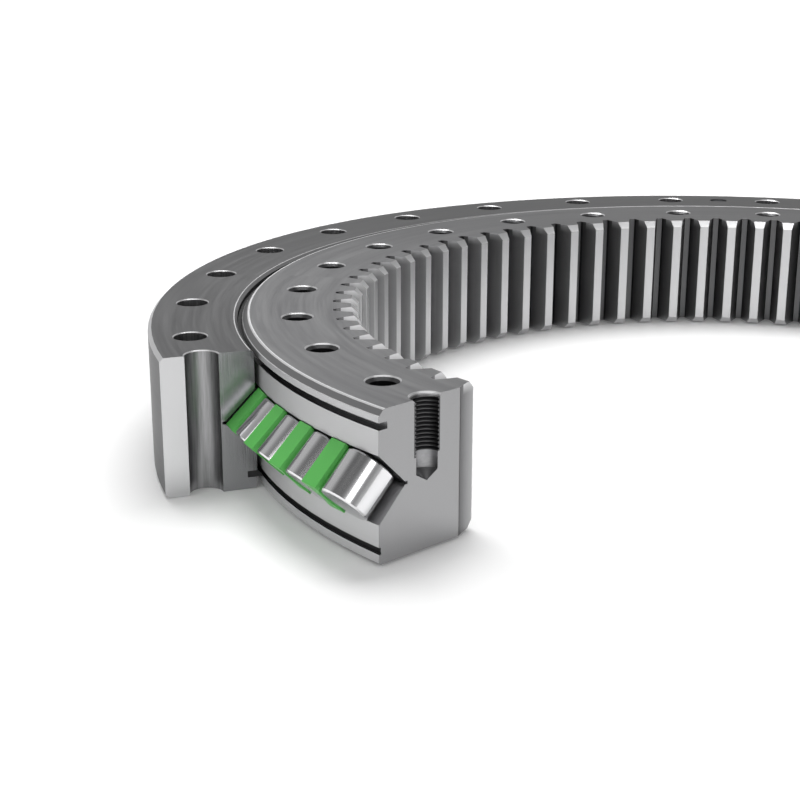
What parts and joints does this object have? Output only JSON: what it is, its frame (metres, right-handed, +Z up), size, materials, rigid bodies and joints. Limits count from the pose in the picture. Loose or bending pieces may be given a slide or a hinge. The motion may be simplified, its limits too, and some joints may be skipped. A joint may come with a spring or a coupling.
{
  "type": "crossed roller bearing",
  "caption": "Crossed roller slewing bearing with internal gear, bolt holes in both rings and a cutaway window that shows rollers and plastic spacers.",
  "frame": {"origin": "centre of the bearing's axis at the bottom face of the outer ring", "axes": "+Z up along the bearing's axis, the cutaway window towards -Y"},
  "size_m": [0.8838, 0.7649, 0.0955],
  "materials": {
    "ring_steel": "turned and ground steel",
    "pin_steel": "ground steel",
    "roller_steel": "ground and polished bearing steel",
    "spacer_plastic": "green moulded plastic",
    "seal_rubber": "black nitrile rubber"
  },
  "bodies": {
    "fixed_ring": {"outer_ring": "ring_steel", "filler_plug": "ring_steel", "plug_pin": "pin_steel", "lower_seal": "seal_rubber"},
    "turning_ring": {"inner_ring": "ring_steel", "upper_seal": "seal_rubber"},
    "roller_train": {"spacer_1": "spacer_plastic", "spacer_2": "spacer_plastic", "spacer_3": "spacer_plastic", "spacer_4": "spacer_plastic", "rollers_in_race": "roller_steel", "crossed_roller_1": "roller_steel", "crossed_roller_2": "roller_steel", "crossed_roller_3": "roller_steel", "crossed_roller_4": "roller_steel", "crossed_roller_5": "roller_steel", "crossed_roller_6": "roller_steel", "crossed_roller_7": "roller_steel", "crossed_roller_8": "roller_steel", "crossed_roller_9": "roller_steel", "spacers_in_race": "spacer_plastic"},
    "roller_1_body": {"roller_1": "roller_steel"},
    "roller_2_body": {"roller_2": "roller_steel"},
    "roller_3_body": {"roller_3": "roller_steel"},
    "roller_4_body": {"roller_4": "roller_steel"}
  },
  "joints": [
    {"name": "inner_ring_turn", "type": "hinge", "parent": "fixed_ring", "child": "turning_ring", "pos_m": [0, 0, 0.047], "axis": [0, 0, 1], "continuous": true},
    {"name": "roller_train_orbit", "type": "hinge", "parent": "fixed_ring", "child": "roller_train", "pos_m": [0, 0, 0.047], "axis": [0, 0, 1], "continuous": true},
    {"name": "roller_1_spin", "type": "hinge", "parent": "roller_train", "child": "roller_1_body", "pos_m": [-0.22937, -0.30202, 0.047], "axis": [-0.4277, -0.5631, -0.7071], "continuous": true},
    {"name": "roller_2_spin", "type": "hinge", "parent": "roller_train", "child": "roller_2_body", "pos_m": [-0.25787, -0.27809, 0.047], "axis": [-0.4808, -0.5185, -0.7071], "continuous": true},
    {"name": "roller_3_spin", "type": "hinge", "parent": "roller_train", "child": "roller_3_body", "pos_m": [-0.28389, -0.25147, 0.047], "axis": [-0.5293, -0.4689, -0.7071], "continuous": true},
    {"name": "roller_4_spin", "type": "hinge", "parent": "roller_train", "child": "roller_4_body", "pos_m": [-0.30717, -0.22243, 0.047], "axis": [-0.5727, -0.4147, -0.7071], "continuous": true}
  ],
  "couplings": [
    {"joint": "roller_train_orbit", "follows": "inner_ring_turn", "ratio": 0.48508},
    {"joint": "roller_1_spin", "follows": "inner_ring_turn", "ratio": 11.841},
    {"joint": "roller_2_spin", "follows": "inner_ring_turn", "ratio": 11.841},
    {"joint": "roller_3_spin", "follows": "inner_ring_turn", "ratio": 11.841},
    {"joint": "roller_4_spin", "follows": "inner_ring_turn", "ratio": 11.841}
  ]
}
